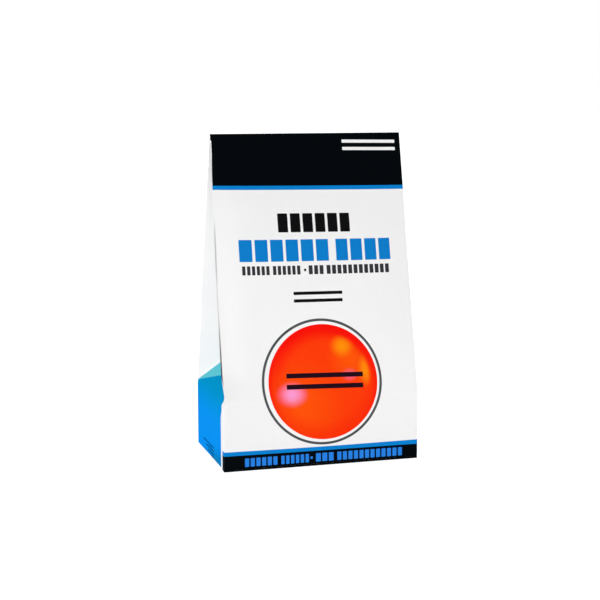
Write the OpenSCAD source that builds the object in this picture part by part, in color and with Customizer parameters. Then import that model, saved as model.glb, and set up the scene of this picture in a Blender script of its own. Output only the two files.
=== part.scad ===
// A sealed tent-shaped folding carton. It stands on its bottom flaps, its lower walls are upright,
// and above the elbow folds the front and back panels lean in and meet in a glued ridge. Each side
// is tucked in as a gusset: a triangle that leans inward, and two halves that fold onto each other.
// X runs along the ridge, the front faces -Y, and the origin is under the middle of the foot.

/* [Carton] */
// Width of the front panel at the foot
carton_w = 115; // [90:1:150]
// Depth of the foot, from front to back
carton_d = 71; // [50:1:90]
// Height of the ridge above the surface
carton_h = 188; // [150:1:240]
// Height of the upright walls, up to the elbow folds
wall_h = 40; // [25:1:60]
// Thickness of the board
board_t = 0.5; // [0.3:0.05:0.8]

/* [Ridge] */
// How far each end of the ridge stands in from the side of the foot
ridge_inset = 0.5; // [0:0.1:5]
// Thickness of the boards pressed together along the ridge
ridge_t = 2; // [1:0.1:3]
// Mouth of the slit between the two gusset halves at the ridge
slit_w = 0.4; // [0.2:0.1:0.8]

/* [Bow of the panels] */
// Share of a straight panel's lean that the middle of a panel has at the foot
foot_lean = 0.16; // [0:0.02:1]
// How suddenly the bow ends towards the side edges
bow_power = 3; // [2:0.5:6]

/* [Glued seam] */
// Width of the seam flap that shows on the left wall
seam_w = 8; // [4:0.5:15]
// How much shorter the flap's free edge is than its fold
seam_taper = 10; // [4:1:20]

/* [Bottom flap] */
// Distance from the outer flap's free edge to the back of the foot
flap_setback = 9; // [4:1:20]
// Gap between the outer flap and each side wall
flap_end_gap = 1; // [0.5:0.1:3]
// Chamfer on the two free corners of the outer flap
flap_corner = 6; // [2:1:15]

/* [Hidden] */

// Facets of a panel: columns across it, and rows up the wall, the gusset triangle and above it
columns = 16;
middle = columns / 2;
wall_rows = 6;
fold_rows = 4;
upper_rows = 12;
rows = wall_rows + fold_rows + upper_rows;

half_w = carton_w / 2;
half_d = carton_d / 2;
half_t = ridge_t / 2;

// The side edge of a leaning panel, seen from the side
edge_run = half_d - half_t;
edge_rise = carton_h - wall_h;
edge_angle = atan2(edge_run, edge_rise);

// The folds run at 45 degrees from the elbows, so the gusset triangle is as high as it is half wide.
// Its lean follows from the folded halves keeping their width.
triangle_h = half_d;
triangle_angle = acos((1 - sin(edge_angle)) / cos(edge_angle));
apex_inset = triangle_h * sin(triangle_angle);
apex_z = wall_h + triangle_h * cos(triangle_angle);
fold_top_z = wall_h + triangle_h * cos(edge_angle);
apex_drop = fold_top_z - apex_z;

// Height of a row of facets
function row_z(i) =
    i <= wall_rows ? board_t + (wall_h - board_t) * i / wall_rows
    : i <= wall_rows + fold_rows ? wall_h + (fold_top_z - wall_h) * (i - wall_rows) / fold_rows
    : fold_top_z + (carton_h - fold_top_z) * (i - wall_rows - fold_rows) / upper_rows;

// Share of the way from the elbow to the ridge
function climb(z) = max(0, z - wall_h) / edge_rise;

// Half the width of the carton at a height
function side_x(z) = half_w - ridge_inset * climb(z);

// Half the depth of the carton at its side edges, which bend sharply at the elbows
function edge_y(z) = half_d - edge_run * climb(z);

// Half the depth in the middle of a panel, which bends softly all the way up
function middle_y(z) =
    let (s = z / carton_h)
    half_d - edge_run * (foot_lean * s + (1 - foot_lean) * s * s);

// Half the depth at a share u of the half width, between the soft middle and the sharp edges
function panel_y(u, z) = edge_y(z) + (middle_y(z) - edge_y(z)) * (1 - pow(abs(u), bow_power));

// Half the gap between the gusset halves where they leave the folded edges
function mouth_y(z) = edge_y(z) - (half_t - slit_w / 2) * climb(z);

// How far the centre fold lies below the edge at the same place on the board
function centre_drop(z) = apex_drop * (carton_h - z) / (carton_h - fold_top_z);

// How far the centre fold lies inward of the side: the halves keep their width of half the depth
function centre_inset(z) = sqrt(pow(half_d, 2) - pow(mouth_y(z), 2) - pow(centre_drop(z), 2));

// The points of the carton, as lists along each panel and fold
function panel_points(side) = [
    for (i = [0 : rows], j = [0 : columns])
        let (z = row_z(i), u = 2 * j / columns - 1)
        [u * side_x(z), side * panel_y(u, z), z]
];
function mouth_points(end, side) = [
    for (i = [wall_rows + 1 : rows])
        let (z = row_z(i))
        [end * side_x(z), side * mouth_y(z), z]
];
function centre_points(end) = [
    for (i = [wall_rows + fold_rows : rows])
        let (z = row_z(i))
        [end * (side_x(z) - centre_inset(z)), 0, z - centre_drop(z)]
];

panel_count = (rows + 1) * (columns + 1);
mouth_count = rows - wall_rows;
centre_count = upper_rows + 1;
mouth_start = 2 * panel_count;
centre_start = mouth_start + 4 * mouth_count;

// Places in the list of points; side is 0 for the front and 1 for the back, end is 0 for the left
function on_panel(side, i, j) = side * panel_count + i * (columns + 1) + j;
function on_edge(end, side, i) = on_panel(side, i, end * columns);
function on_mouth(end, side, i) =
    i == wall_rows ? on_edge(end, side, i)
    : mouth_start + (2 * end + side) * mouth_count + i - wall_rows - 1;
function on_centre(end, i) = centre_start + end * centre_count + i - wall_rows - fold_rows;

// Turns a face over where it is the mirror image of the one that was written down
function turned(face, over) = over ? [for (k = [len(face) - 1 : -1 : 0]) face[k]] : face;
function quad(a, b, c, d, over) = [turned([a, b, c], over), turned([a, c, d], over)];

function panel_faces(side) = [
    for (i = [0 : rows - 1], j = [0 : columns - 1])
        each quad(
            on_panel(side, i, j), on_panel(side, i + 1, j),
            on_panel(side, i + 1, j + 1), on_panel(side, i, j + 1), side == 1
        )
];

// The upright wall at one end
function wall_faces(end) = [
    for (i = [0 : wall_rows - 1])
        each quad(
            on_edge(end, 1, i), on_edge(end, 1, i + 1),
            on_edge(end, 0, i + 1), on_edge(end, 0, i), end == 1
        )
];

// The thickness of a folded edge, from the outside of the panel to the mouth of the gusset
function rim_faces(end, side) = [
    turned([
        on_edge(end, side, wall_rows), on_mouth(end, side, wall_rows + 1), on_edge(end, side, wall_rows + 1)
    ], end != side),
    for (i = [wall_rows + 1 : rows - 1])
        each quad(
            on_edge(end, side, i), on_mouth(end, side, i),
            on_mouth(end, side, i + 1), on_edge(end, side, i + 1), end != side
        )
];

// One half of a gusset: a flat triangle beside the 45 degree fold, then a strip up to the ridge
function half_faces(end, side) = [
    for (i = [wall_rows : wall_rows + fold_rows - 1])
        turned([
            on_centre(end, wall_rows + fold_rows), on_mouth(end, side, i + 1), on_mouth(end, side, i)
        ], end != side),
    for (i = [wall_rows + fold_rows : rows - 1])
        each quad(
            on_mouth(end, side, i), on_centre(end, i),
            on_centre(end, i + 1), on_mouth(end, side, i + 1), end != side
        )
];

function triangle_face(end) = turned([
    on_edge(end, 0, wall_rows), on_edge(end, 1, wall_rows), on_centre(end, wall_rows + fold_rows)
], end == 1);

function bottom_faces() = [
    for (j = [0 : columns - 1])
        each quad(
            on_panel(0, 0, j), on_panel(0, 0, j + 1),
            on_panel(1, 0, j + 1), on_panel(1, 0, j), false
        )
];

// The top of the ridge: a fan on each side of both slits, and the middle between the slits' ends
function ridge_fan(end, side) = [
    turned([on_centre(end, rows), on_edge(end, side, rows), on_mouth(end, side, rows)], end != side),
    for (j = [0 : middle - 1])
        let (a = end == 0 ? j : columns - j, b = end == 0 ? j + 1 : columns - j - 1)
        turned([on_centre(end, rows), on_panel(side, rows, b), on_panel(side, rows, a)], end != side)
];
function ridge_faces() = concat(
    [for (end = [0, 1], side = [0, 1]) each ridge_fan(end, side)],
    quad(
        on_centre(0, rows), on_panel(1, rows, middle),
        on_centre(1, rows), on_panel(0, rows, middle), false
    )
);

module folded_board() {
    polyhedron(
        points = concat(
            panel_points(-1), panel_points(1),
            mouth_points(-1, -1), mouth_points(-1, 1), mouth_points(1, -1), mouth_points(1, 1),
            centre_points(-1), centre_points(1)
        ),
        faces = concat(
            panel_faces(0), panel_faces(1),
            [for (end = [0, 1]) each wall_faces(end)],
            [for (end = [0, 1]) triangle_face(end)],
            [for (end = [0, 1], side = [0, 1]) each rim_faces(end, side)],
            [for (end = [0, 1], side = [0, 1]) each half_faces(end, side)],
            bottom_faces(), ridge_faces()
        ),
        convexity = 6
    );
}

// The outer bottom flap is folded in under the front and glued over the others
module bottom_flap() {
    free_y = half_d - flap_setback;
    end_x = half_w - flap_end_gap;
    linear_extrude(2 * board_t)
        polygon([
            [-end_x, -half_d], [end_x, -half_d],
            [end_x, free_y - flap_corner], [end_x - flap_corner, free_y],
            [-end_x + flap_corner, free_y], [-end_x, free_y - flap_corner]
        ]);
}

// The front panel is carried round the left corner as a flap, tapered below the elbow
module seam_flap() {
    translate([-half_w - board_t, 0, 0])
        rotate([90, 0, 90])
            linear_extrude(2 * board_t)
                polygon([
                    [-half_d, board_t], [seam_w - half_d, board_t],
                    [seam_w - half_d, wall_h - seam_taper], [-half_d, wall_h]
                ]);
}

module carton() {
    color("whitesmoke")
        union() {
            folded_board();
            bottom_flap();
            seam_flap();
        }
}

carton();
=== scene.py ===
"""Dresses the tent-shaped ball carton: folded, printed board with its glued flaps, in a plain studio.

Lengths are in millimetres until a mesh is made. X runs along the ridge, the front faces -Y, and
the origin is under the middle of the foot. A panel's print is placed by its own flat coordinates:
the distance across it from its middle, and the height.
"""

import math

import bpy
import numpy as np
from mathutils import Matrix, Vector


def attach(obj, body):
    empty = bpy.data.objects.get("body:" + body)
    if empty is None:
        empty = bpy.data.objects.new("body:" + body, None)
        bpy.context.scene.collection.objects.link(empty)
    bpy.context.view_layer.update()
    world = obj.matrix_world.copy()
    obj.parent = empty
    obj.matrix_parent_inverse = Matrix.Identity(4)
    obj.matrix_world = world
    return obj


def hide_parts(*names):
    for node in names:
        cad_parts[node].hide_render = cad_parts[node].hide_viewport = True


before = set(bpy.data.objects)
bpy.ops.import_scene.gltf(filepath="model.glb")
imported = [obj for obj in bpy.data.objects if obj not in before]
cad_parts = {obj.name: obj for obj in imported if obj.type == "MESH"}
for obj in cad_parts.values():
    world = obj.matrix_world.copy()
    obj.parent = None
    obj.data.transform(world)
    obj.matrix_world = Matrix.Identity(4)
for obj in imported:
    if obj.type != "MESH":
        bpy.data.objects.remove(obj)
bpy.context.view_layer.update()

MM = 0.001

# The carton's sizes, as in its CAD source
WIDTH = 115.0
DEPTH = 71.0
HEIGHT = 188.0
WALL = 40.0
BOARD = 0.5
RIDGE_INSET = 0.5
RIDGE_T = 2.0
SLIT = 0.4
FOOT_LEAN = 0.16
BOW_POWER = 3
SEAM_W = 8.0
SEAM_TAPER = 10.0
FLAP_SETBACK = 9.0
FLAP_END_GAP = 1.0
FLAP_CORNER = 6.0

HALF_W = WIDTH / 2
HALF_D = DEPTH / 2
HALF_T = RIDGE_T / 2
EDGE_RUN = HALF_D - HALF_T
EDGE_RISE = HEIGHT - WALL
EDGE_ANGLE = math.atan2(EDGE_RUN, EDGE_RISE)
TRIANGLE_ANGLE = math.acos((1 - math.sin(EDGE_ANGLE)) / math.cos(EDGE_ANGLE))
FOLD_TOP = WALL + HALF_D * math.cos(EDGE_ANGLE)
APEX_DROP = FOLD_TOP - (WALL + HALF_D * math.cos(TRIANGLE_ANGLE))
BOARD_TOP = WALL + EDGE_RISE / math.cos(EDGE_ANGLE)

# How far the gusset triangle bulges, and how high above the middle of its base
BULGE = 2.2
BULGE_RISE = 10.0

# How far the front left edge bows to the left and back, how wide the bow is, and between which
# distances along the board it is full
FRONT_BOW = (-0.55, 3.2)
FRONT_BOW_REACH = 10.0
FRONT_BOW_LOW = WALL + 16
FRONT_BOW_TOP = WALL + 50

# How far the back left edge stands out, how wide that bow is, and up to where it is full
BACK_BOW = 0.4
BACK_BOW_REACH = 22.0
BACK_BOW_TOP = 120.0

# The walls end just above the surface, and are drawn down to it from this height
FOOT_GAP = 0.02
FOOT_DRAWN = 3.0

# The board's outside is rounded over this distance on each side of a fold, from a grid of places
FOLD_R = 0.45
FOLD_GRID = 7


# The shape of the folded sleeve


def smooth(value, low, high):
    share = np.clip((value - low) / (high - low), 0, 1)
    return share * share * (3 - 2 * share)


def climb(z):
    """Share of the way from the elbow to the ridge."""
    return np.maximum(0, z - WALL) / EDGE_RISE


def side_x(z):
    return HALF_W - RIDGE_INSET * climb(z)


def edge_y(z):
    return HALF_D - EDGE_RUN * climb(z)


def middle_y(z):
    share = z / HEIGHT
    return HALF_D - EDGE_RUN * (FOOT_LEAN * share + (1 - FOOT_LEAN) * share**2)


def panel_y(across, z):
    bow = 1 - np.abs(across) ** BOW_POWER
    return edge_y(z) + (middle_y(z) - edge_y(z)) * bow


def mouth_y(z):
    return edge_y(z) - (HALF_T - SLIT / 2) * climb(z)


def centre(z):
    """How far the centre fold lies inward and below the folded edge at the height z."""
    drop = APEX_DROP * (HEIGHT - z) / (HEIGHT - FOLD_TOP)
    return np.sqrt(HALF_D**2 - mouth_y(z) ** 2 - drop**2), drop


def rise(h):
    """Height of a place on a folded edge, from its distance along the board."""
    return np.where(h < WALL, h, WALL + (h - WALL) * math.cos(EDGE_ANGLE))


def panel_point(x, h):
    """A place on the front panel."""
    z = rise(h)
    across = x / HALF_W
    return np.stack([across * side_x(z), -panel_y(across, z), z], -1)


def bulge(inward, up):
    """How far the gusset triangle stands out: it bends at two soft rays that rise from the elbows."""
    below = up / np.maximum(inward * BULGE_RISE / HALF_D, 1e-6)
    above = (inward - up) / np.maximum(inward * (1 - BULGE_RISE / HALF_D), 1e-6)
    return BULGE * inward / HALF_D * np.clip(np.minimum(below, above), 0, 1)


def side_point(s, h):
    """A place on the left wall and its gusset; s runs from the front to the back."""
    inset, drop = centre(FOLD_TOP)
    apex = np.array([side_x(FOLD_TOP) - inset, 0, FOLD_TOP - drop])
    up = np.maximum(h - WALL, 0)
    inward = HALF_D - np.abs(s)
    front = np.where(s < 0, -1.0, 1.0)

    share = (up / HALF_D)[..., None]
    elbow_line = np.stack([np.full_like(s, HALF_W), s, np.minimum(h, WALL)], -1)
    triangle = elbow_line + share * (apex - [HALF_W, 0, WALL])
    triangle[..., 0] += bulge(inward, up)

    # The flat part of a gusset half, between the elbow, the folded edge and the apex
    to_apex = (inward / HALF_D)[..., None]
    to_edge = ((up - inward) / HALF_D)[..., None]
    elbow = np.stack([np.full_like(s, HALF_W), front * HALF_D, np.full_like(s, WALL)], -1)
    top = np.array([side_x(FOLD_TOP), mouth_y(FOLD_TOP), FOLD_TOP])
    edge_top = np.stack([np.full_like(s, top[0]), front * top[1], np.full_like(s, top[2])], -1)
    low_half = elbow + to_apex * (apex - elbow) + to_edge * (edge_top - elbow)

    # Above it, a strip from the folded edge to the centre fold
    z = rise(np.maximum(h, WALL + HALF_D))
    inset, drop = centre(z)
    mouth = np.stack([side_x(z), front * mouth_y(z), z], -1)
    fold = np.stack([side_x(z) - inset, np.zeros_like(z), z - drop], -1)
    high_half = mouth + to_apex * (fold - mouth)

    out = np.where((up <= inward)[..., None], triangle, low_half)
    out = np.where((up > HALF_D)[..., None], high_half, out)
    return out * [-1, 1, 1]


def sleeve(p, h):
    """A place on the outside of the sleeve. p runs round it from the front left fold."""
    p = np.mod(p, 2 * (WIDTH + DEPTH))
    below = np.maximum(BOARD - h, 0)
    h = np.clip(h, BOARD, BOARD_TOP)
    front = panel_point(p - HALF_W, h)
    right = side_point(p - WIDTH - HALF_D, h) * [-1, 1, 1]
    back = panel_point(p - WIDTH - DEPTH - HALF_W, h) * [-1, -1, 1]
    left = side_point(HALF_D - (p - 2 * WIDTH - DEPTH), h)
    out = np.where((p < WIDTH)[..., None], front, right)
    out = np.where((p > WIDTH + DEPTH)[..., None], back, out)
    out = np.where((p > 2 * WIDTH + DEPTH)[..., None], left, out)

    # The front left edge is bowed a little above its elbow
    round_way = np.minimum(p, 2 * (WIDTH + DEPTH) - p)
    near = np.exp(-((round_way / FRONT_BOW_REACH) ** 2))
    along = smooth(h, WALL, FRONT_BOW_LOW) * (1 - smooth(h, FRONT_BOW_TOP, HEIGHT))
    out[..., :2] += np.array(FRONT_BOW) * (near * along)[..., None]

    # The back left edge stands out a little, from the foot to below the header
    near = np.exp(-(((p - 2 * WIDTH - DEPTH) / BACK_BOW_REACH) ** 2))
    out[..., 0] -= BACK_BOW * near * (1 - smooth(h, BACK_BOW_TOP, HEIGHT))

    # The walls reach down to the surface, level with the bottom flap's outside
    out[..., 2] -= (BOARD - FOOT_GAP) * (1 - smooth(h, BOARD, FOOT_DRAWN))

    # Under the foot the board turns in, level with the bottom
    limit = np.stack([HALF_W - below, HALF_D - below], -1)
    turned_in = np.clip(out[..., :2], -limit, limit)
    out[..., :2] = np.where((below > 0)[..., None], turned_in, out[..., :2])
    return out


def rounded(p, h):
    """The sleeve with its folds rounded, by the mean of the places around each one."""
    reach = np.minimum(FOLD_R, BOARD_TOP - h)
    line = np.linspace(-1, 1, FOLD_GRID)
    around = [(a, b) for a in line for b in line if a * a + b * b <= 1]
    return sum(sleeve(p + a * FOLD_R, h + b * reach) for a, b in around) / len(around)


# Materials


def linear(level):
    """The light that a screen level from 0 to 255 stands for."""
    share = level / 255
    return share / 12.92 if share <= 0.04045 else ((share + 0.055) / 1.055) ** 2.4


def rgb(r, g, b):
    """A colour written as on a screen, as the linear light that a shader takes."""
    return (linear(r), linear(g), linear(b), 1.0)


class Print:
    """Math on the flat coordinates of a panel, in millimetres, for fields of ink with soft edges."""

    BLEED = 0.1

    # Waves a metre of the ink's mottle, the board's fine tooth and its slow unevenness
    MOTTLE = 900.0
    TOOTH = 5000.0
    UNEVEN = 260.0

    # How strongly the tooth shows, and its depth in metres
    TOOTH_STRENGTH = 0.25
    TOOTH_DEPTH = 0.00004

    def __init__(self, name, board, rough=0.42, gloss=0.015):
        self.material = bpy.data.materials.new(name)
        self.material.use_nodes = True
        self.tree = self.material.node_tree
        self.shader = self.tree.nodes["Principled BSDF"]
        self.shader.inputs["Roughness"].default_value = rough
        self.shader.inputs["Specular IOR Level"].default_value = gloss
        uv = self.node("ShaderNodeUVMap")
        uv.uv_map = "flat"
        split = self.node("ShaderNodeSeparateXYZ")
        self.link(uv.outputs[0], split.inputs[0])
        self.x = self.math("MULTIPLY", split.outputs[0], 1000.0)
        self.z = self.math("MULTIPLY", split.outputs[1], 1000.0)
        self.colour = rgb(*board)

    def node(self, kind):
        return self.tree.nodes.new(kind)

    def link(self, source, target):
        self.tree.links.new(source, target)

    def put(self, value, socket):
        if isinstance(value, bpy.types.NodeSocket):
            self.link(value, socket)
        else:
            socket.default_value = value

    def math(self, operation, *values):
        node = self.node("ShaderNodeMath")
        node.operation = operation
        for value, socket in zip(values, node.inputs):
            self.put(value, socket)
        return node.outputs[0]

    def step(self, value, low, high, start=0.0, end=1.0):
        """Goes smoothly from start to end as value goes from low to high."""
        node = self.node("ShaderNodeMapRange")
        node.interpolation_type = "SMOOTHSTEP"
        for key, number in (("From Min", low), ("From Max", high), ("To Min", start), ("To Max", end)):
            self.put(number, node.inputs[key])
        self.put(value, node.inputs["Value"])
        return node.outputs["Result"]

    def above(self, value, edge):
        return self.step(value, edge - self.BLEED, edge + self.BLEED)

    def below(self, value, edge):
        return self.step(value, edge - self.BLEED, edge + self.BLEED, 1.0, 0.0)

    def both(self, a, b):
        return self.math("MULTIPLY", a, b)

    def between(self, value, low, high):
        return self.both(self.above(value, low), self.below(value, high))

    def slanted(self, slope, sag=0.0):
        """Height along lines of print that fall by the slope from left to right and sag in the middle."""
        level = self.math("ADD", self.z, self.math("MULTIPLY", self.x, slope))
        from_middle = self.math("MULTIPLY", self.both(self.x, self.x), -sag / HALF_W**2)
        return self.math("ADD", level, self.math("ADD", from_middle, sag))

    def from_place(self, height, place, size=(1.0, 1.0)):
        """Distance from a place on the panel, with its two directions measured by their own sizes."""
        dx = self.math("MULTIPLY", self.math("SUBTRACT", self.x, place[0]), 1 / size[0])
        dz = self.math("MULTIPLY", self.math("SUBTRACT", height, place[1]), 1 / size[1])
        squares = self.math("ADD", self.both(dx, dx), self.both(dz, dz))
        return self.math("SQRT", squares)

    def blocks(self, z, x0, x1, z0, z1, count=1, gap=0.0, corner=0.4):
        """A row of equal blocks with round corners."""
        pitch = (x1 - x0 + gap) / count
        half = (pitch - gap) / 2
        off = self.math("SUBTRACT", self.x, x0 + half)
        across = self.math("PINGPONG", off, pitch / 2) if count > 1 else self.math("ABSOLUTE", off)
        up = self.math("ABSOLUTE", self.math("SUBTRACT", z, (z0 + z1) / 2))
        dx = self.math("MAXIMUM", self.math("SUBTRACT", across, half - corner), 0.0)
        dz = self.math("MAXIMUM", self.math("SUBTRACT", up, (z1 - z0) / 2 - corner), 0.0)
        away = self.math("SQRT", self.math("ADD", self.both(dx, dx), self.both(dz, dz)))
        row = self.below(away, corner)
        if count == 1:
            return row
        return self.both(row, self.between(self.x, x0 - gap / 2, x1 + gap / 2))

    def noise(self, scale, detail=3.0):
        """Noise on the object's own coordinates; scale is in waves a metre."""
        place = self.node("ShaderNodeTexCoord")
        node = self.node("ShaderNodeTexNoise")
        node.inputs["Scale"].default_value = scale
        node.inputs["Detail"].default_value = detail
        self.link(place.outputs["Object"], node.inputs["Vector"])
        return node.outputs["Fac"]

    def paint(self, amount, colour):
        """Lays a colour over what is there."""
        node = self.node("ShaderNodeMix")
        node.data_type = "RGBA"
        self.put(amount, node.inputs["Factor"])
        self.put(self.colour, node.inputs["A"])
        self.put(rgb(*colour), node.inputs["B"])
        self.colour = node.outputs["Result"]

    def finish(self):
        """Lays the ink on the board: a slight mottle, and the fine tooth of a coated sheet."""
        mottle = self.step(self.noise(self.MOTTLE), 0.3, 0.7, 0.985, 1.0)
        tone = self.node("ShaderNodeMix")
        tone.data_type = "RGBA"
        tone.blend_type = "MULTIPLY"
        tone.inputs["Factor"].default_value = 1.0
        self.put(self.colour, tone.inputs["A"])
        self.link(mottle, tone.inputs["B"])
        self.link(tone.outputs["Result"], self.shader.inputs["Base Color"])
        bump = self.node("ShaderNodeBump")
        bump.inputs["Strength"].default_value = self.TOOTH_STRENGTH
        bump.inputs["Distance"].default_value = self.TOOTH_DEPTH
        uneven = self.math("MULTIPLY", self.noise(self.UNEVEN, 1.0), 2.0)
        self.link(self.math("ADD", self.noise(self.TOOTH), uneven), bump.inputs["Height"])
        self.link(bump.outputs["Normal"], self.shader.inputs["Normal"])
        return self.material


# Inks and boards, and the colours of painted light and shade
BARE = (245, 245, 245)
# Painted light: a whiter board for the gusset's upper fold
GUSSET_TOP_PAINTED_LIGHT = (254, 254, 254)
BARE_INSIDE = (238, 237, 233)
BLACK = (2, 6, 10)
STRIPE = (8, 130, 210)
TITLE_BLACK = (14, 14, 16)
TITLE_BLUE = (14, 126, 204)
NOTE_GREY = (54, 54, 58)
FOOT_BLUE = (40, 130, 228)
MARK_WHITE = (250, 250, 250)
MARK_ON_BALL = (30, 8, 24)
FIELD = (12, 145, 236)
# Painted shade: a darker blue for the field's upper part
FIELD_PAINTED_SHADE = (4, 146, 199)
# Painted shade: a darker blue along the walls' foot
FOOT_PAINTED_SHADE = (8, 126, 184)
# Painted highlight: a lighter teal on the gusset triangle's upper part
HIGHLIGHT_TEAL = (96, 200, 214)
SMALL_PRINT = (0, 70, 116)
# Painted shadow: a dark line along the front left fold
FOLD_SHADOW = (72, 58, 52)
RING_GREY = (78, 82, 84)
BALL_ORANGE = (253, 60, 4)
BALL_RED = (250, 16, 4)

# Heights of the lines that end the header, the foot band and their stripes
HEADER_LINE = 158.45
HEADER_STRIPE_LINE = 156.15
FOOT_STRIPE_LINE = 11.385
FOOT_LINE = 8.85

# The front's print isn't quite level: how much its lines fall from left to right
HEADER_TILT = 0.0135
BALL_TILT = 0.0275
FOOT_STRIPE_TILT = 0.0028
FOOT_TILT = 0.005

# How much the foot's two lines sag in the middle
FOOT_STRIPE_SAG = 0.45
FOOT_SAG = 0.15

# Rows of plain blocks: low and top height, gap, round corner, and groups. A group runs from one
# place across to another, and has a number of blocks.
TITLE = (132.4, 143.0, 1.5, 0.4, ((-21.4, 21.7, 6),))
SUBTITLE = (116.2, 128.4, 1.6, 0.4, ((-44.6, 7.8, 6), (12.3, 45.8, 4)))
NOTE = (108.8, 113.8, 0.9, 0.3, ((-43.4, -27.8, 6), (-25.8, -9.7, 6), (-4.7, 4.1, 3), (6.0, 44.3, 12)))
NOTE_DOT = (110.6, 112.0, 0.0, 0.3, ((-7.5, -6.2, 1),))
FOOT_NOTE = (2.4, 7.2, 0.9, 0.3, ((-46.0, -27.0, 6), (-24.8, -8.4, 6), (-4.2, 6.4, 3), (8.6, 48.0, 12)))
FOOT_DOT = (4.2, 5.6, 0.0, 0.3, ((-7.5, -6.1, 1),))

# Pairs of slim bars, each pair with its two ends and its low and top height
HEADER_MARKS = (21.0, 53.8, 178.5, 184.5)
MIDDLE_MARKS = (-14.5, 14.6, 93.2, 99.2)
BALL_MARKS = (-20.7, 24.9, 44.2, 53.2)

# Slim bars at the foot of the side walls: each one's height and its two ends
WALL_BARS = ((6.8, -6.0, 20.0), (4.8, -6.0, 12.5), (2.8, -6.0, 8.0), (1.2, -6.0, 0.0))
WALL_BAR_HALF = 0.42

# A soft step goes from one place to another, and may name the amounts at both. On a side, painted light
# makes the board whiter up the gusset, and painted shade makes the blue field darker from mid-wall upwards.
PAINTED_LIGHT_RISE = (85.0, 145.0)
FIELD_SHADE_RISE = (20.0, 46.0)

# The blue field ends this far under the gusset's folds, and comes round to the back panel
FIELD_SETBACK = 2.7
FIELD_ON_BACK = 0.8
FIELD_ON_BACK_TOP = WALL - 2.0

# The painted shade along its foot ends between two heights at the front, and falls towards the back
FOOT_SHADE = (4.0, 16.0)
FOOT_SHADE_FALL = 0.2

# The painted highlight's ray starts this far from the back fold, and rises towards the front; its edge is
# soft
HIGHLIGHT_START = 3.0
HIGHLIGHT_RISE = 0.32
HIGHLIGHT_EDGE = (-0.4, 0.6)

# Soft steps of the bare margin's width beside the seam flap's fold, below the elbow and above it
FLAP_MARGIN_LOW = (36.3, 41.6, SEAM_W, 2.0)
FLAP_MARGIN_TOP = (43.5, 48.0, 0.0, 0.6)

# The bare margin beside the header's left edge: its two heights, and the soft step of its place
HEADER_MARGIN = (160.0, 184.5)
HEADER_MARGIN_EDGE = (160.0, 182.0, -HALF_W, -HALF_W + 0.6)

# Soft steps of the painted shadow line beside the front left fold: across it, then upwards where it starts,
# where it fades, where it comes again and where it ends
FOLD_SHADOW_ACROSS = (-HALF_W + 0.65, -HALF_W + 1.0, 1.0, 0.0)
FOLD_SHADOW_START = (WALL + 7.0, WALL + 14.0)
FOLD_SHADOW_FADE = (60.0, 92.0, 0.78, 0.0)
FOLD_SHADOW_AGAIN = (102.0, 114.0, 0.22, 0.5)
FOLD_SHADOW_END = (126.0, 146.0, 1.0, 0.0)

# The pictured ball is a disc in a thin ring, and both are a little higher than wide
RING_PLACE = (0.48, 47.98)
RING_R = 35.0
RING_W = 1.45
RING_UP = 1.006
DISC_PLACE = (1.05, 47.9)
DISC_R = 32.4
DISC_UP = 1.012

# Glows on it, each with its place, its half width and height, its strength and its colour
LOW_GLOWS = (
    ((-14.0, 34.0), (32.0, 32.0), 1.0, (254, 82, 4)),
    ((-17.7, 41.2), (10.8, 8.4), 0.95, (251, 158, 214)),
    ((17.0, 51.8), (6.0, 4.5), 0.45, (250, 120, 190)),
)
HIGH_GLOWS = (
    ((18.0, 61.0), (17.0, 17.0), 0.28, (255, 125, 5)),
    ((12.8, 68.2), (8.5, 8.0), 1.0, (255, 145, 5)),
    ((27.2, 55.0), (6.5, 12.0), 1.0, (255, 145, 8)),
)

# The share of a glow's reach that keeps its full strength
GLOW_HEART = 0.05

# Soft steps of the disc's shading: outwards as shares of its radius, and upwards as heights
RIM_OUT = (0.64, 0.94)
RIM_UP = (42.0, 76.0, 0.36, 1.0)
END_LINE_OUT = (0.9, 0.98, 0.0, 0.6)
END_LINE_UP = (20.0, 44.0, 0.2, 1.0)
HIGH_GLOWS_OUT = (0.8, 0.92, 1.0, 0.0)


def bands(ink, z):
    """The header, the foot band and their stripes, which the front and the back both have."""
    ink.paint(ink.above(z, HEADER_STRIPE_LINE), STRIPE)
    ink.paint(ink.above(z, HEADER_LINE), BLACK)
    ink.paint(ink.below(ink.slanted(FOOT_STRIPE_TILT, FOOT_STRIPE_SAG), FOOT_STRIPE_LINE), STRIPE)
    ink.paint(ink.below(ink.slanted(FOOT_TILT, FOOT_SAG), FOOT_LINE), BLACK)


def marks(ink, z, x0, x1, z0, z1, colour):
    """Two slim plain bars, one above the other."""
    slim = (z1 - z0) * 0.3
    ink.paint(ink.blocks(z, x0, x1, z1 - slim, z1, corner=0.3), colour)
    ink.paint(ink.blocks(z, x0, x1, z0, z0 + slim, corner=0.3), colour)


def block_row(ink, z, row, colour):
    """A row of plain blocks in groups."""
    low, top, gap, corner, groups = row
    for x0, x1, count in groups:
        ink.paint(ink.blocks(z, x0, x1, low, top, count, gap, corner), colour)


def glows(ink, height, area, places):
    """Soft glows inside an area of the disc."""
    for place, size, strength, colour in places:
        glow = ink.step(ink.from_place(height, place, size), GLOW_HEART, 1.0, strength, 0.0)
        ink.paint(ink.both(area, glow), colour)


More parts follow.
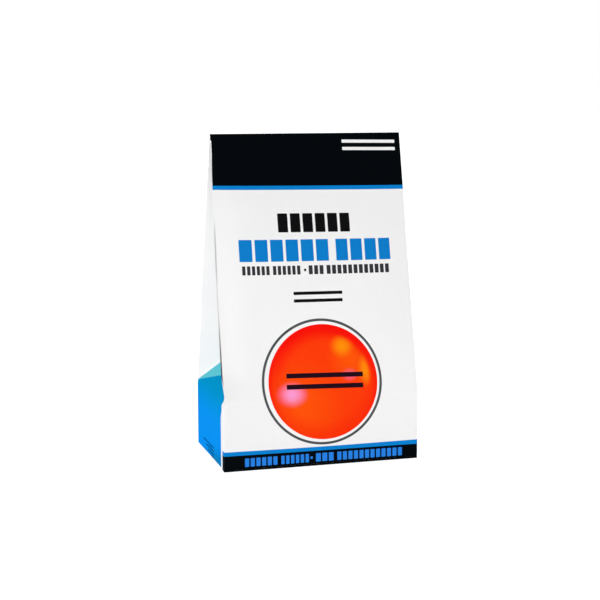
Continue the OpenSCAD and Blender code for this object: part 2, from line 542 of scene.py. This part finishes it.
def pictured_ball(ink):
    """A shaded disc in a thin ring."""
    height = ink.slanted(BALL_TILT)
    off_middle = ink.from_place(height, RING_PLACE, (1.0, RING_UP))
    ink.paint(ink.between(off_middle, RING_R - RING_W / 2, RING_R + RING_W / 2), RING_GREY)
    away = ink.from_place(height, DISC_PLACE, (DISC_R, DISC_R * DISC_UP))
    disc = ink.step(away, 1 - ink.BLEED / DISC_R, 1 + ink.BLEED / DISC_R, 1.0, 0.0)
    ink.paint(disc, BALL_ORANGE)
    glows(ink, height, disc, LOW_GLOWS)
    # The rim turns red, most of all at the top
    rim = ink.both(ink.step(away, *RIM_OUT), ink.step(height, *RIM_UP))
    ink.paint(ink.both(disc, rim), BALL_RED)
    # A thin darker line ends the disc, faintest at its foot
    end_line = ink.both(ink.step(away, *END_LINE_OUT), ink.step(height, *END_LINE_UP))
    ink.paint(ink.both(disc, end_line), BALL_RED)
    # These glows end before the rim
    glows(ink, height, ink.step(away, *HIGH_GLOWS_OUT), HIGH_GLOWS)


def painted_fold_shadow(ink):
    """A painted shadow line along the front left fold, darkest just above the elbow."""
    beside = ink.step(ink.x, *FOLD_SHADOW_ACROSS)
    above_elbow = ink.step(ink.z, *FOLD_SHADOW_START)
    upper_shadow = ink.both(ink.step(ink.z, *FOLD_SHADOW_AGAIN), ink.step(ink.z, *FOLD_SHADOW_END))
    shadow_amount = ink.math("ADD", ink.step(ink.z, *FOLD_SHADOW_FADE), upper_shadow)
    ink.paint(ink.both(ink.both(beside, above_elbow), shadow_amount), FOLD_SHADOW)


def header_margin(ink):
    """A thin margin without ink beside the header's left edge, widest near the ridge."""
    edge = ink.step(ink.z, *HEADER_MARGIN_EDGE)
    beside = ink.below(ink.math("SUBTRACT", ink.x, edge), 0.0)
    ink.paint(ink.both(beside, ink.between(ink.z, *HEADER_MARGIN)), BARE)


def front_print():
    ink = Print("front_board", BARE)
    z = ink.slanted(HEADER_TILT)
    bands(ink, z)
    marks(ink, z, *HEADER_MARKS, MARK_WHITE)
    block_row(ink, z, TITLE, TITLE_BLACK)
    block_row(ink, z, SUBTITLE, TITLE_BLUE)
    block_row(ink, z, NOTE, NOTE_GREY)
    block_row(ink, z, NOTE_DOT, NOTE_GREY)
    marks(ink, z, *MIDDLE_MARKS, TITLE_BLACK)
    pictured_ball(ink)
    marks(ink, ink.slanted(BALL_TILT), *BALL_MARKS, MARK_ON_BALL)
    block_row(ink, ink.z, FOOT_NOTE, FOOT_BLUE)
    block_row(ink, ink.z, FOOT_DOT, FOOT_BLUE)
    # No ink on the seam flap past its first 5 mm, nor under the bottom
    ink.paint(ink.below(ink.x, -HALF_W - 5.0), BARE)
    ink.paint(ink.below(ink.z, -0.6), BARE)
    # A painted shadow line along the front left fold
    painted_fold_shadow(ink)
    header_margin(ink)
    return ink.finish()


def back_print():
    ink = Print("back_board", BARE)
    bands(ink, ink.z)
    # The blue of the walls comes round their back folds
    past_fold = ink.above(ink.math("ABSOLUTE", ink.x), HALF_W - FIELD_ON_BACK)
    ink.paint(ink.both(past_fold, ink.below(ink.z, FIELD_ON_BACK_TOP)), FIELD)
    return ink.finish()


def side_print(name, has_flap):
    """The wall and the gusset triangle carry a field of blue; x runs from front to back."""
    ink = Print(name, BARE, gloss=0.0)
    # Painted light: the board is a little whiter deep in the gusset's upper fold
    ink.paint(ink.step(ink.z, *PAINTED_LIGHT_RISE), GUSSET_TOP_PAINTED_LIGHT)
    up = ink.math("SUBTRACT", ink.z, WALL)
    inward = ink.math("SUBTRACT", HALF_D, ink.math("ABSOLUTE", ink.x))
    field = ink.below(ink.math("SUBTRACT", up, inward), -FIELD_SETBACK)
    ink.paint(field, FIELD)
    # Painted shade: the blue field is darker from mid-wall upwards
    ink.paint(ink.both(field, ink.step(ink.z, *FIELD_SHADE_RISE)), FIELD_PAINTED_SHADE)
    # A painted shade along the foot, higher towards the front
    from_front = ink.math("ADD", ink.x, HALF_D)
    foot = ink.math("ADD", ink.z, ink.math("MULTIPLY", from_front, FOOT_SHADE_FALL))
    ink.paint(ink.both(field, ink.step(foot, *FOOT_SHADE, 1.0, 0.0)), FOOT_PAINTED_SHADE)
    # A painted highlight, a lighter teal, above a ray that rises from the elbow
    ray = ink.math("MULTIPLY", ink.math("SUBTRACT", HALF_D - HIGHLIGHT_START, ink.x), HIGHLIGHT_RISE)
    painted_highlight = ink.step(ink.math("SUBTRACT", up, ray), *HIGHLIGHT_EDGE)
    ink.paint(ink.both(field, painted_highlight), HIGHLIGHT_TEAL)
    for z, x0, x1 in WALL_BARS:
        bar = ink.blocks(ink.z, x0, x1, z - WALL_BAR_HALF, z + WALL_BAR_HALF, corner=0.2)
        ink.paint(bar, SMALL_PRINT)
    if has_flap:
        # A margin without ink beside the front fold, which widens to the flap's end below the elbow
        margin = ink.math("ADD", ink.step(ink.z, *FLAP_MARGIN_LOW), ink.step(ink.z, *FLAP_MARGIN_TOP))
        ink.paint(ink.below(ink.math("SUBTRACT", from_front, margin), 0.0), BARE)
    return ink.finish()


FRONT, RIGHT, BACK, LEFT, PLAIN = range(5)
materials = [
    front_print(),
    side_print("right_board", False),
    back_print(),
    side_print("left_board", True),
    Print("bare_board", BARE_INSIDE, rough=0.6).finish(),
]


# Meshes


class Piece:
    """A piece of board while it is put together, in millimetres, with its print coordinates."""

    def __init__(self, name, verts):
        self.name = name
        self.verts = list(verts)
        self.faces = []
        self.slots = []
        self.flat = []

    def point(self, x, y, z):
        """Adds a point and gives its number."""
        self.verts.append(np.array([x, y, z]))
        return len(self.verts) - 1

    def face(self, corners, slot=PLAIN, flat=None, turned=False):
        """Adds a face. flat holds its corners' print coordinates, and turned faces it the other way."""
        if flat is None:
            flat = [(self.verts[v][0], self.verts[v][2]) for v in corners]
        way = -1 if turned else 1
        self.faces.append([int(v) for v in corners][::way])
        self.slots.append(slot)
        self.flat += flat[::way]

    def made(self, soft_slots):
        """The finished object, drawn smooth where its material is one of soft_slots."""
        mesh = bpy.data.meshes.new(self.name)
        mesh.from_pydata((np.asarray(self.verts) * MM).tolist(), [], self.faces)
        for material in materials:
            mesh.materials.append(material)
        mesh.polygons.foreach_set("material_index", np.asarray(self.slots, np.int32))
        layer = mesh.uv_layers.new(name="flat")
        layer.uv.foreach_set("vector", (np.asarray(self.flat, np.float32) * MM).ravel())
        mesh.polygons.foreach_set("use_smooth", [slot in soft_slots for slot in self.slots])
        mesh.validate()
        mesh.update()
        made = bpy.data.objects.new(self.name, mesh)
        bpy.context.scene.collection.objects.link(made)
        return made


# Distances from a fold at which the mesh has its first rows, and where its even rows start
CLOSE_ROWS = [0, 0.2, 0.4, 0.6, 0.9, 1.3, 1.8, 2.4]
EVEN_ROWS = 3


def steps(length, stride):
    """Places from 0 to length, close together at the start and then a stride apart."""
    count = round((length - EVEN_ROWS) / stride)
    return CLOSE_ROWS + [EVEN_ROWS + (length - EVEN_ROWS) * i / count for i in range(count + 1)]


def two_sided(half, stride):
    """Places from -half to half, close together at both ends."""
    near = np.array(steps(half, stride)) - half
    return np.concatenate([near, -near[-2::-1]])


# The folded sleeve with its bottom and its ridge

# Places across the front and across a side, and how many columns lie between them and all round
ACROSS = two_sided(HALF_W, 1.5)
DEEP = two_sided(HALF_D, 1.0)
NX = len(ACROSS) - 1
NY = len(DEEP) - 1
AROUND = 2 * (NX + NY)

# More rows just under the elbow, and the number of rows along the upper fold
UNDER_ELBOW = (0.3, 0.6, 1.0)
UPPER_ROWS = 79

# The grooves along the ridge between a panel's board and the gusset's: their place on each side of
# the middle, half their width, and their depth
GROOVE = 0.48
GROOVE_HALF = 0.05
GROOVE_DEPTH = 0.15


def shell_rows():
    """Distances along the board from the surface up, close together at the foot and the elbow."""
    wall = BOARD + np.array(steps(WALL - BOARD, 1.0))
    wall = np.unique(np.concatenate([wall, WALL - np.array(UNDER_ELBOW)]))
    gusset = WALL + np.array(steps(HALF_D, 1.0))
    upper = np.linspace(WALL + HALF_D, BOARD_TOP, UPPER_ROWS)
    return np.concatenate([wall, gusset[1:], upper[1:]])


def shell_columns():
    """The columns round the sleeve: each one's place, its panel, and where it lies across the panel."""
    places, panels = [], []
    start = 0.0
    for panel in (FRONT, RIGHT, BACK, LEFT):
        line, half = (ACROSS, HALF_W) if panel in (FRONT, BACK) else (DEEP, HALF_D)
        places += list(start + half + line[:-1])
        panels += [(panel, x0, x1) for x0, x1 in zip(line[:-1], line[1:])]
        start += 2 * half
    return np.array(places), panels


def wrap_panels(piece, rows, panels):
    """The outside of the four panels, from the lowest row to the highest."""
    for i, heights in enumerate(zip(rows, rows[1:])):
        for j, (panel, x0, x1) in enumerate(panels):
            near = i * AROUND + j
            far = i * AROUND + (j + 1) % AROUND
            corners = [near, far, far + AROUND, near + AROUND]
            is_side = panel in (RIGHT, LEFT)
            z0, z1 = heights if is_side else rise(np.array(heights))
            # On the left wall, x runs from front to back, against the way round
            way = -1 if panel == LEFT else 1
            flat = [(way * x0, z0), (way * x1, z0), (way * x1, z1), (way * x0, z1)]
            if not is_side:
                piece.face(corners, panel, flat)
                continue
            # Each quad of a side is split along the way its 45 degree fold runs
            for half in ((0, 1, 3), (1, 2, 3)) if x0 + x1 > 0 else ((0, 1, 2), (0, 2, 3)):
                piece.face([corners[k] for k in half], panel, [flat[k] for k in half])


def close_bottom(piece):
    """A grid between the lowest points of the four panels."""

    def corner(i, j):
        """The point at column i across and row j from the front: one of the lowest, or a new one inside."""
        if j == 0:
            return i
        if i == NX:
            return NX + j
        if j == NY:
            return NX + NY + (NX - i)
        if i == 0:
            return 2 * NX + NY + (NY - j)
        return piece.point(ACROSS[i], DEEP[j], BOARD)

    grid = {(i, j): corner(i, j) for i in range(NX + 1) for j in range(NY + 1)}
    for i in range(NX):
        for j in range(NY):
            piece.face([grid[i, j], grid[i, j + 1], grid[i + 1, j + 1], grid[i + 1, j]])


def bridge(piece, outer, inner, turned):
    """Triangles between two lines of points that both run from left to right."""
    out, into = 0, 0
    while out < len(outer) - 1 or into < len(inner) - 1:
        inner_done = into == len(inner) - 1
        outer_left = out < len(outer) - 1
        if inner_done or (outer_left and piece.verts[outer[out + 1]][0] <= piece.verts[inner[into + 1]][0]):
            piece.face([outer[out], outer[out + 1], inner[into]], turned=turned)
            out += 1
        else:
            piece.face([outer[out], inner[into + 1], inner[into]], turned=turned)
            into += 1


def close_ridge(piece, top, is_back):
    """The cut edges of one half of the pressed boards; top is the number of the highest row's first point."""
    sign = 1 if is_back else -1

    def line(y, z):
        """Points along the ridge, level with the front panel's columns."""
        return [piece.point(piece.verts[top + i][0], sign * y, z) for i in range(NX + 1)]

    middle = NY // 2
    if is_back:
        edge = [top + NX + NY + (NX - i) for i in range(NX + 1)]
        left = [top + 2 * NX + NY + j for j in range(1, middle + 1)]
        right = [top + NX + NY - j for j in range(middle, 0, -1)]
    else:
        edge = [top + i for i in range(NX + 1)]
        left = [top + 2 * NX + 2 * NY - j for j in range(1, middle + 1)]
        right = [top + NX + j for j in range(middle, 0, -1)]
    lines = [
        edge,
        line(GROOVE + GROOVE_HALF, HEIGHT),
        line(GROOVE, HEIGHT - GROOVE_DEPTH),
        line(GROOVE - GROOVE_HALF, HEIGHT),
    ]
    for one, two in zip(lines, lines[1:]):
        for i in range(NX):
            piece.face([one[i], one[i + 1], two[i + 1], two[i]], turned=is_back)

    # The inner side follows both gusset halves to their centre folds
    inner = left + right
    bridge(piece, lines[-1], inner, is_back)

    # The two ends of the boards
    for end, near in ((0, inner[0]), (NX, inner[-1])):
        fan = [points[end] for points in lines] + [near]
        turned = is_back == (end == 0)
        for b, c in zip(fan[1:], fan[2:]):
            piece.face([fan[0], b, c], turned=turned)


def carton_shell():
    places, panels = shell_columns()
    rows = shell_rows()
    piece = Piece("carton_board", rounded(*np.meshgrid(places, rows)).reshape(-1, 3))
    wrap_panels(piece, rows, panels)
    close_bottom(piece)
    for is_back in (False, True):
        close_ridge(piece, (len(rows) - 1) * AROUND, is_back)
    return piece.made((FRONT, RIGHT, BACK, LEFT, PLAIN))


# The glued flaps

# Where the seam flap ends under the elbow, how its taper curves, and its least width
SEAM_TOP = WALL - 0.4
SEAM_CURVE = 0.6
SEAM_LEAST = 0.8

# The bottom flap's gap at each end of its fold, and the mesh's places across it
FLAP_FOLD_GAP = 0.1
FLAP_COLUMNS = 41

# How far before its fold each flap starts on the front panel, and the radius of the fold
SEAM_FOLD = (1.1, 0.35)
BOTTOM_FOLD = (1.2, 0.25)


def plate(name, outer, inner, flat):
    """A closed strip of board between two grids of points, the outer one printed."""
    rows, columns = outer.shape[:2]
    under = rows * columns
    places = [tuple(place) for place in flat.reshape(-1, 2)]
    piece = Piece(name, np.concatenate([outer.reshape(-1, 3), inner.reshape(-1, 3)]))

    def add(corners, slot=PLAIN, turned=False):
        piece.face(corners, slot, [places[v % under] for v in corners], turned)

    for i in range(rows - 1):
        for j in range(columns - 1):
            a, b = i * columns + j, (i + 1) * columns + j
            add([a, a + 1, b + 1, b], FRONT)
            add([under + a, under + a + 1, under + b + 1, under + b], turned=True)
    for j in range(columns - 1):
        low, high = j, (rows - 1) * columns + j
        add([low, low + 1, under + low + 1, under + low], turned=True)
        add([high, high + 1, under + high + 1, under + high])
    for i in range(rows - 1):
        near, far = i * columns, i * columns + columns - 1
        add([near, near + columns, under + near + columns, under + near])
        add([far, far + columns, under + far + columns, under + far], turned=True)
    return piece.made((FRONT,))


def wrap(start, radius):
    """Offsets round an outside fold: along the first face, round the corner and on to the second."""
    turn = np.radians(np.linspace(0, 90, 9))
    first = np.array([[start, 0.0], [start * 0.5 + radius * 0.5, 0.0]])
    arc = np.stack([radius * (1 - np.sin(turn)), radius * (1 - np.cos(turn))], -1)
    return np.concatenate([first, arc])


def flat_lengths(path):
    return np.concatenate([[0], np.cumsum(np.linalg.norm(np.diff(path, axis=0), axis=1))])


def lapped(start, radius, stops):
    """Outer and inner path of a flap carried round a fold; a stop is a distance past it and a count."""
    bite = np.array([BOARD - 0.01, BOARD + 0.1])
    paths = []
    for corner in (wrap(start, radius), wrap(start - bite[0], 0.05) + bite):
        points = [corner]
        level, at = corner[-1]
        for stop, count in stops:
            past = np.linspace(at, stop, count + 1)[1:]
            points.append(np.column_stack([np.full(count, level), past]))
            at = stop
        paths.append(np.concatenate(points))
    return paths


def seam_flap():
    """The front panel goes round the left corner and is glued to the wall, tapered below the elbow."""
    full = WALL - SEAM_TAPER
    heights = np.concatenate([np.linspace(0.05, full, 31), np.linspace(full, SEAM_TOP, 15)[1:]])
    left = -HALF_W - BOARD
    outer, inner, flat = [], [], []
    for z in heights:
        reach = max(SEAM_W * min(1.0, (WALL - z) / SEAM_TAPER) ** SEAM_CURVE, SEAM_LEAST)
        path, deep = lapped(*SEAM_FOLD, [(reach, 8)])
        level = np.full(len(path), z)
        front = min(panel_y(1.0 - path[0, 0] / HALF_W, z) + 0.01, HALF_D)
        outer.append(np.column_stack([left + path[:, 0], path[:, 1] - front, level]))
        inner.append(np.column_stack([left + deep[:, 0], deep[:, 1] - HALF_D, level]))
        flat.append(np.column_stack([left + path[0, 0] - flat_lengths(path), level]))
    return plate("seam_flap", *(np.array(grid)[:, ::-1] for grid in (outer, inner, flat)))


def bottom_flap():
    """The outer bottom flap is folded in under the front and glued over the others."""
    depth = DEPTH - FLAP_SETBACK
    corners = depth - FLAP_CORNER
    path, deep = lapped(*BOTTOM_FOLD, [(corners, 27), (depth, 6)])
    outer, inner, flat = [], [], []
    for (z, y), (deep_z, deep_y), length in zip(path, deep, flat_lengths(path)):
        # It is as wide as the panel at its fold, and narrows behind it
        gap = FLAP_FOLD_GAP + (FLAP_END_GAP - FLAP_FOLD_GAP) * smooth(y, 0.25, 3.0)
        half = HALF_W - gap - max(0.0, y - corners)
        x = np.linspace(-half, half, FLAP_COLUMNS)
        outer.append(np.column_stack([x, np.full_like(x, y - HALF_D), np.full_like(x, z)]))
        inner.append(np.column_stack([x, np.full_like(x, deep_y - HALF_D), np.full_like(x, deep_z)]))
        flat.append(np.column_stack([x, np.full_like(x, path[0, 0] - length)]))
    return plate("bottom_flap", *(np.array(grid)[::-1] for grid in (outer, inner, flat)))


for piece in (carton_shell(), seam_flap(), bottom_flap()):
    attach(piece, "root")
    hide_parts("carton")


# The studio

CAMERA_PLACE = (-231.6, -789.9, 215.3)
CAMERA_YAW = 16.106
CAMERA_PITCH = -8.616
CAMERA_LENS = 85.01

# The world's light at the horizon and overhead
HORIZON_LIGHT = 1.37
ZENITH_LIGHT = 0.0

# The floor's half size in metres, and how strongly it glows for the camera alone
FLOOR_HALF = 6.0
FLOOR_GLOW = 0.8


def white_light(horizon, zenith):
    """The world gives the soft light, and shows as plain white behind the object."""
    world = bpy.data.worlds.new("studio_white")
    bpy.context.scene.world = world
    world.use_nodes = True
    tree = world.node_tree
    back = tree.nodes["Background"]
    back.inputs["Color"].default_value = (1, 1, 1, 1)
    path = tree.nodes.new("ShaderNodeLightPath")
    seen = path.outputs["Is Camera Ray"]
    for kind in ("Is Glossy Ray", "Is Transmission Ray"):
        more = tree.nodes.new("ShaderNodeMath")
        more.operation = "MAXIMUM"
        tree.links.new(seen, more.inputs[0])
        tree.links.new(path.outputs[kind], more.inputs[1])
        seen = more.outputs[0]
    place = tree.nodes.new("ShaderNodeTexCoord")
    height = tree.nodes.new("ShaderNodeSeparateXYZ")
    tree.links.new(place.outputs["Generated"], height.inputs[0])
    soft = tree.nodes.new("ShaderNodeMapRange")
    soft.inputs["To Min"].default_value = horizon
    soft.inputs["To Max"].default_value = zenith
    tree.links.new(height.outputs["Z"], soft.inputs["Value"])
    level = tree.nodes.new("ShaderNodeMapRange")
    level.inputs["To Max"].default_value = 1.0
    tree.links.new(soft.outputs["Result"], level.inputs["To Min"])
    tree.links.new(seen, level.inputs["Value"])
    tree.links.new(level.outputs["Result"], back.inputs["Strength"])


def softbox(name, place, aim, size, watts):
    lamp = bpy.data.lights.new(name, "AREA")
    lamp.shape = "RECTANGLE"
    lamp.size, lamp.size_y = size
    lamp.energy = watts
    at = bpy.data.objects.new(name, lamp)
    at.location = place
    at.visible_camera = False
    at.rotation_euler = (Vector(aim) - Vector(place)).to_track_quat("-Z", "Y").to_euler()
    bpy.context.scene.collection.objects.link(at)


def floor(half, glow):
    """A pale floor that the camera sees as white, except where the object shades it."""
    mesh = bpy.data.meshes.new("studio_floor")
    corners = [(-half, -half, 0), (half, -half, 0), (half, half, 0), (-half, half, 0)]
    mesh.from_pydata(corners, [], [(0, 1, 2, 3)])
    made = bpy.data.objects.new("studio_floor", mesh)
    bpy.context.scene.collection.objects.link(made)
    material = bpy.data.materials.new("studio_floor")
    material.use_nodes = True
    tree = material.node_tree
    shader = tree.nodes["Principled BSDF"]
    shader.inputs["Base Color"].default_value = (0.86, 0.86, 0.86, 1)
    shader.inputs["Roughness"].default_value = 0.95
    shader.inputs["Specular IOR Level"].default_value = 0.1
    shader.inputs["Emission Color"].default_value = (1, 1, 1, 1)
    path = tree.nodes.new("ShaderNodeLightPath")
    seen = tree.nodes.new("ShaderNodeMath")
    seen.operation = "MULTIPLY"
    seen.inputs[1].default_value = glow
    tree.links.new(path.outputs["Is Camera Ray"], seen.inputs[0])
    tree.links.new(seen.outputs[0], shader.inputs["Emission Strength"])
    mesh.materials.append(material)


def camera(place, yaw, pitch, lens):
    data = bpy.data.cameras.new("camera")
    data.sensor_width = 36.0
    data.lens = lens
    data.clip_start = 0.01
    data.clip_end = 50.0
    made = bpy.data.objects.new("camera", data)
    made.location = Vector(place) * MM
    made.rotation_euler = (math.radians(90 + pitch), 0, math.radians(-yaw))
    bpy.context.scene.collection.objects.link(made)
    bpy.context.scene.camera = made


white_light(HORIZON_LIGHT, ZENITH_LIGHT)

# Each lamp's place, what it aims at and its size are in metres, and its power is in watts
softbox("front_softbox", (-0.02, -0.6, 0.03), (0, 0, 0), (0.5, 0.06), 1.25)
softbox("left_softbox", (-1.2, 0.1, 0.08), (0, 0, 0.05), (0.6, 0.1), 5.2)
softbox("right_softbox", (1.2, 0.3, 0.2), (0, 0, 0.08), (0.6, 0.3), 3.0)
softbox("back_softbox", (0.2, 1.3, 0.3), (0, 0, 0.08), (0.8, 0.4), 3.0)
floor(FLOOR_HALF, FLOOR_GLOW)
camera(CAMERA_PLACE, CAMERA_YAW, CAMERA_PITCH, CAMERA_LENS)
bpy.context.scene.view_settings.view_transform = "Standard"
